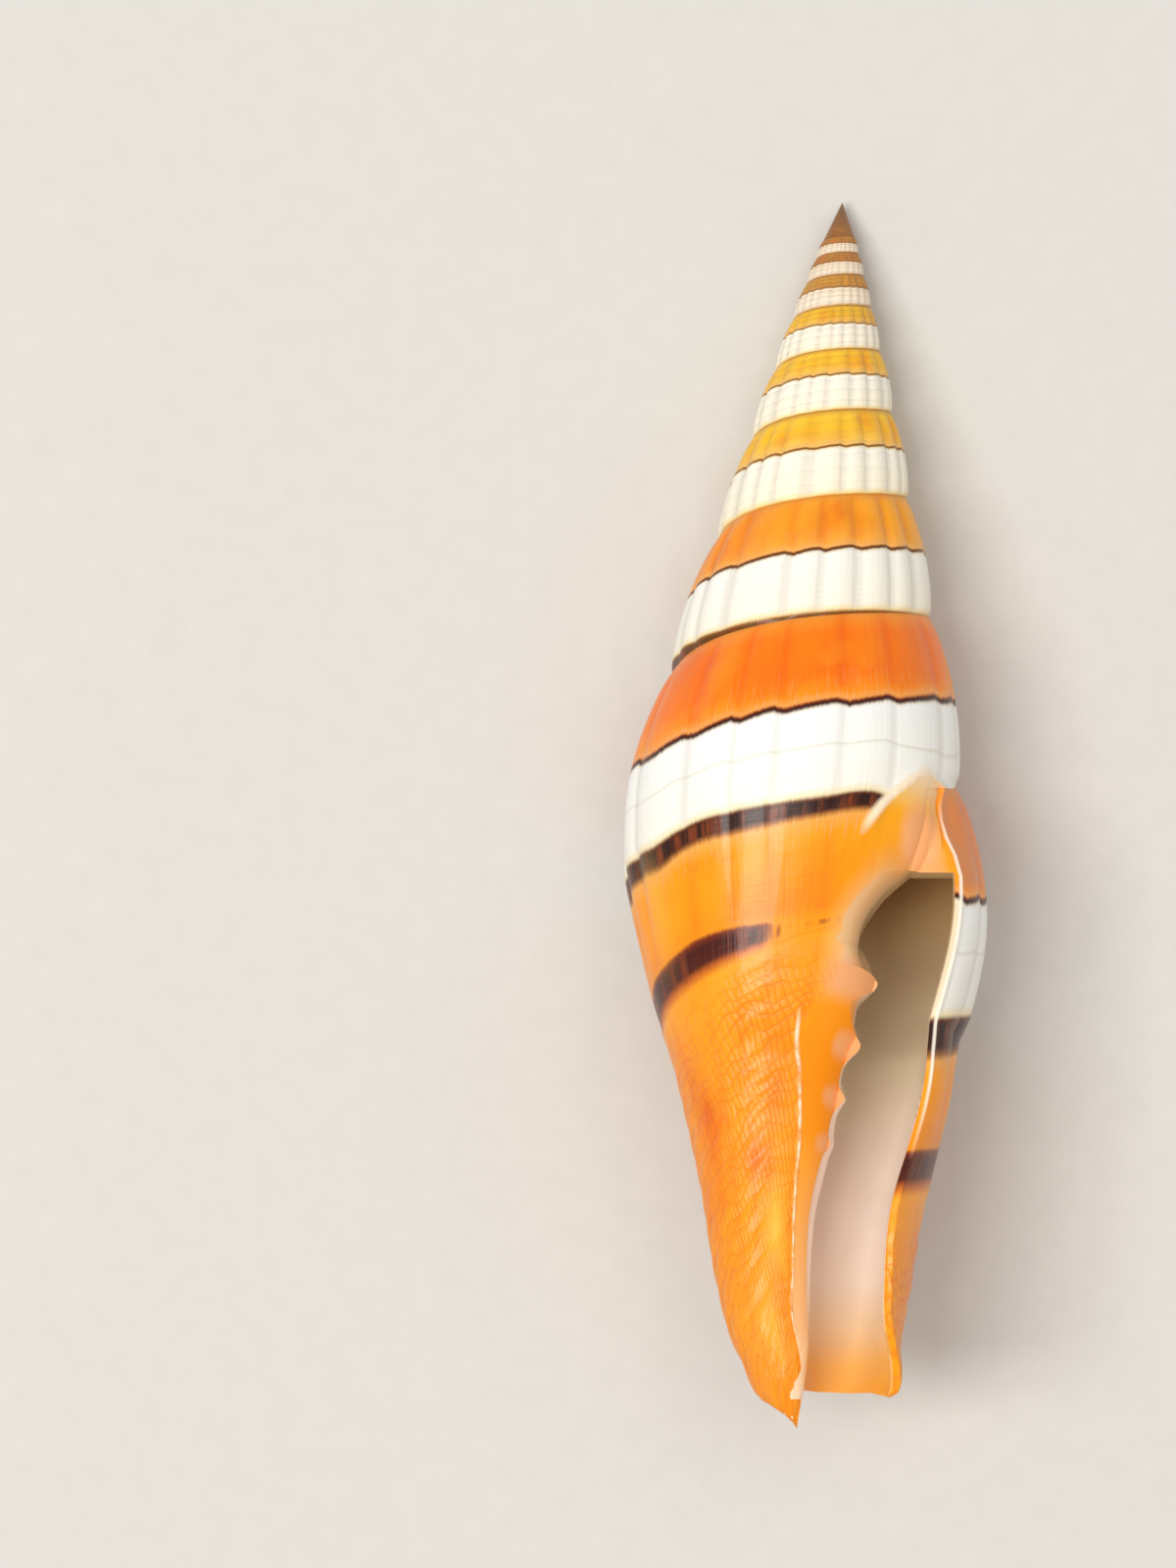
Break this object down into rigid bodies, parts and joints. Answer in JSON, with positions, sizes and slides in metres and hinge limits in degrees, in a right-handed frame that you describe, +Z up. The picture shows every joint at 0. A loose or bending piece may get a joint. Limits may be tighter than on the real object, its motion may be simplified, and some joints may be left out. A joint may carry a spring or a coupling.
{
  "type": "vexillum taeniatum shell",
  "caption": "Slender ribbed spindle-shaped sea shell with a tall spire, a narrow aperture with columellar folds and an open siphonal canal, lying on its back on a small flat spot.",
  "frame": {"origin": "under the middle of the shell's outline, on the surface that it lies on", "axes": "+Z up, out of the aperture side; +Y towards the tip of the spire; +X towards the outer lip"},
  "size_m": [0.0196, 0.0642, 0.0199],
  "materials": {
    "shell": "naturally glossy shell, orange with white and dark brown spiral bands, pale inside the aperture"
  },
  "bodies": {
    "root": {"shell": "shell"}
  },
  "joints": []
}
